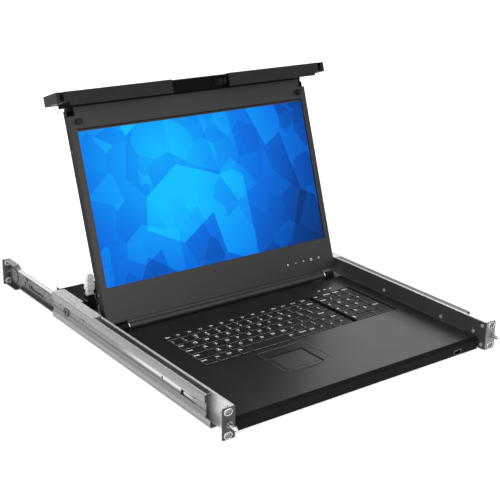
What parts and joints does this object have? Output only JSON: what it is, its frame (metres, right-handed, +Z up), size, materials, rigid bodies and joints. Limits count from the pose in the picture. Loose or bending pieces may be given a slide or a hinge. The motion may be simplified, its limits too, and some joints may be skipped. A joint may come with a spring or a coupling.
{
  "type": "rackmount LCD console drawer",
  "caption": "Rack console drawer: a keyboard tray with touchpad on ball slides, a flip-up display lid with a latching front bar, and flanged support rails.",
  "frame": {"origin": "centre of the four front rack holes, on the front face of the mounting flanges", "axes": "+X to the right seen from the front, +Y back into the rack, +Z up"},
  "size_m": [0.4826, 0.673, 0.3576],
  "materials": {
    "galvanised": "galvanised sheet, satin",
    "black_sheet": "fine-textured black powder coat",
    "deck_coat": "satin black powder coat",
    "slide_zinc": "zinc plated",
    "hardware": "bright plated",
    "screw_black": "nickel plated",
    "key_black": "fine matte",
    "plate_dark": "matte",
    "touch_grey": "fine matte",
    "lamp_green": "clear lens",
    "port_metal": "plated shell",
    "bezel_black": "fine matte",
    "lid_coat": "satin black powder coat",
    "screen": "lit screen behind a smooth polarizer",
    "bar_black": "fine matte",
    "rubber": "soft matte"
  },
  "bodies": {
    "rack_frame": {"front_bracket_left": "galvanised", "front_bracket_right": "galvanised", "side_wall_left": "black_sheet", "side_wall_right": "black_sheet", "support_rail_left": "galvanised", "support_rail_right": "galvanised", "rear_bracket_left": "galvanised", "rear_bracket_right": "galvanised", "slide_outer_left": "slide_zinc", "slide_outer_right": "slide_zinc", "rear_panel": "black_sheet", "locating_pins": "hardware", "wall_screws": "screw_black", "rail_bolts": "hardware"},
    "drawer": {"drawer_pan": "black_sheet", "deck": "deck_coat", "key_plate": "plate_dark", "touchpad": "touch_grey", "indicator_lights": "lamp_green", "front_port": "port_metal", "controller_box": "black_sheet", "hinge_bracket_left": "lid_coat", "hinge_bracket_right": "lid_coat", "hinge_pins": "hardware", "slide_inner_left": "slide_zinc", "slide_inner_right": "slide_zinc"},
    "display": {"lid_back": "lid_coat", "bezel": "bezel_black", "lcd_panel": "screen", "hinge_barrel": "lid_coat", "front_bar": "bar_black", "bar_end_left": "bar_black", "bar_end_right": "bar_black", "grip_liner": "bar_black", "latch_plates": "hardware", "bumpers": "rubber"},
    "latch": {"latch_lever": "bar_black"},
    "slide_middle_left": {"slide_middle_left": "slide_zinc"},
    "ball_cage_outer_left": {"ball_cage_outer_left": "hardware"},
    "ball_cage_inner_left": {"ball_cage_inner_left": "hardware"},
    "slide_middle_right": {"slide_middle_right": "slide_zinc"},
    "ball_cage_outer_right": {"ball_cage_outer_right": "hardware"},
    "ball_cage_inner_right": {"ball_cage_inner_right": "hardware"},
    "key_row_1": {"key_row_1": "key_black"},
    "key_row_2": {"key_row_2": "key_black"},
    "key_row_3": {"key_row_3": "key_black"},
    "key_row_4": {"key_row_4": "key_black"},
    "key_row_5": {"key_row_5": "key_black"},
    "key_row_6": {"key_row_6": "key_black"},
    "key_tall": {"key_tall": "key_black"},
    "touch_button_left": {"touch_button_left": "touch_grey"},
    "touch_button_right": {"touch_button_right": "touch_grey"},
    "display_button_1": {"display_button_1": "bezel_black"},
    "display_button_2": {"display_button_2": "bezel_black"},
    "display_button_3": {"display_button_3": "bezel_black"},
    "display_button_4": {"display_button_4": "bezel_black"},
    "display_button_5": {"display_button_5": "bezel_black"}
  },
  "joints": [
    {"name": "drawer_slide", "type": "slide", "parent": "rack_frame", "child": "drawer", "axis": [0, -1, 0], "range_m": [0, 0.4]},
    {"name": "lid_hinge", "type": "hinge", "parent": "drawer", "child": "display", "pos_m": [0, 0.3213, 0.0012], "axis": [1, 0, 0], "range_deg": [-11.6, 108.39]},
    {"name": "middle_travel_left", "type": "slide", "parent": "rack_frame", "child": "slide_middle_left", "axis": [0, -1, 0], "range_m": [0, 0.2]},
    {"name": "outer_cage_travel_left", "type": "slide", "parent": "rack_frame", "child": "ball_cage_outer_left", "axis": [0, -1, 0], "range_m": [0, 0.1]},
    {"name": "inner_cage_travel_left", "type": "slide", "parent": "rack_frame", "child": "ball_cage_inner_left", "axis": [0, -1, 0], "range_m": [0, 0.3]},
    {"name": "middle_travel_right", "type": "slide", "parent": "rack_frame", "child": "slide_middle_right", "axis": [0, -1, 0], "range_m": [0, 0.2]},
    {"name": "outer_cage_travel_right", "type": "slide", "parent": "rack_frame", "child": "ball_cage_outer_right", "axis": [0, -1, 0], "range_m": [0, 0.1]},
    {"name": "inner_cage_travel_right", "type": "slide", "parent": "rack_frame", "child": "ball_cage_inner_right", "axis": [0, -1, 0], "range_m": [0, 0.3]},
    {"name": "key_row_1_press", "type": "slide", "parent": "drawer", "child": "key_row_1", "axis": [0, 0, -1], "range_m": [0, 0.002], "stiffness_N_per_m": 400, "springref_m": -0.002},
    {"name": "key_row_2_press", "type": "slide", "parent": "drawer", "child": "key_row_2", "axis": [0, 0, -1], "range_m": [0, 0.002], "stiffness_N_per_m": 400, "springref_m": -0.002},
    {"name": "key_row_3_press", "type": "slide", "parent": "drawer", "child": "key_row_3", "axis": [0, 0, -1], "range_m": [0, 0.002], "stiffness_N_per_m": 400, "springref_m": -0.002},
    {"name": "key_row_4_press", "type": "slide", "parent": "drawer", "child": "key_row_4", "axis": [0, 0, -1], "range_m": [0, 0.002], "stiffness_N_per_m": 400, "springref_m": -0.002},
    {"name": "key_row_5_press", "type": "slide", "parent": "drawer", "child": "key_row_5", "axis": [0, 0, -1], "range_m": [0, 0.002], "stiffness_N_per_m": 400, "springref_m": -0.002},
    {"name": "key_row_6_press", "type": "slide", "parent": "drawer", "child": "key_row_6", "axis": [0, 0, -1], "range_m": [0, 0.002], "stiffness_N_per_m": 400, "springref_m": -0.002},
    {"name": "key_tall_press", "type": "slide", "parent": "drawer", "child": "key_tall", "axis": [0, 0, -1], "range_m": [0, 0.002], "stiffness_N_per_m": 400, "springref_m": -0.002},
    {"name": "touch_button_left_press", "type": "slide", "parent": "drawer", "child": "touch_button_left", "axis": [0, 0, -1], "range_m": [0, 0.0005], "stiffness_N_per_m": 500, "springref_m": -0.001},
    {"name": "touch_button_right_press", "type": "slide", "parent": "drawer", "child": "touch_button_right", "axis": [0, 0, -1], "range_m": [0, 0.0005], "stiffness_N_per_m": 500, "springref_m": -0.001},
    {"name": "display_button_1_press", "type": "slide", "parent": "display", "child": "display_button_1", "axis": [0, 0.949, -0.3154], "range_m": [0, 0.0004], "stiffness_N_per_m": 500, "springref_m": -0.001},
    {"name": "display_button_2_press", "type": "slide", "parent": "display", "child": "display_button_2", "axis": [0, 0.949, -0.3154], "range_m": [0, 0.0004], "stiffness_N_per_m": 500, "springref_m": -0.001},
    {"name": "display_button_3_press", "type": "slide", "parent": "display", "child": "display_button_3", "axis": [0, 0.949, -0.3154], "range_m": [0, 0.0004], "stiffness_N_per_m": 500, "springref_m": -0.001},
    {"name": "display_button_4_press", "type": "slide", "parent": "display", "child": "display_button_4", "axis": [0, 0.949, -0.3154], "range_m": [0, 0.0004], "stiffness_N_per_m": 500, "springref_m": -0.001},
    {"name": "display_button_5_press", "type": "slide", "parent": "display", "child": "display_button_5", "axis": [0, 0.949, -0.3154], "range_m": [0, 0.0004], "stiffness_N_per_m": 500, "springref_m": -0.001},
    {"name": "latch_release", "type": "slide", "parent": "display", "child": "latch", "axis": [-1, 0, 0], "range_m": [0, 0.0035], "stiffness_N_per_m": 300, "springref_m": -0.004}
  ],
  "couplings": [
    {"joint": "middle_travel_left", "follows": "drawer_slide", "ratio": 0.5},
    {"joint": "outer_cage_travel_left", "follows": "drawer_slide", "ratio": 0.25},
    {"joint": "inner_cage_travel_left", "follows": "drawer_slide", "ratio": 0.75},
    {"joint": "middle_travel_right", "follows": "drawer_slide", "ratio": 0.5},
    {"joint": "outer_cage_travel_right", "follows": "drawer_slide", "ratio": 0.25},
    {"joint": "inner_cage_travel_right", "follows": "drawer_slide", "ratio": 0.75}
  ]
}
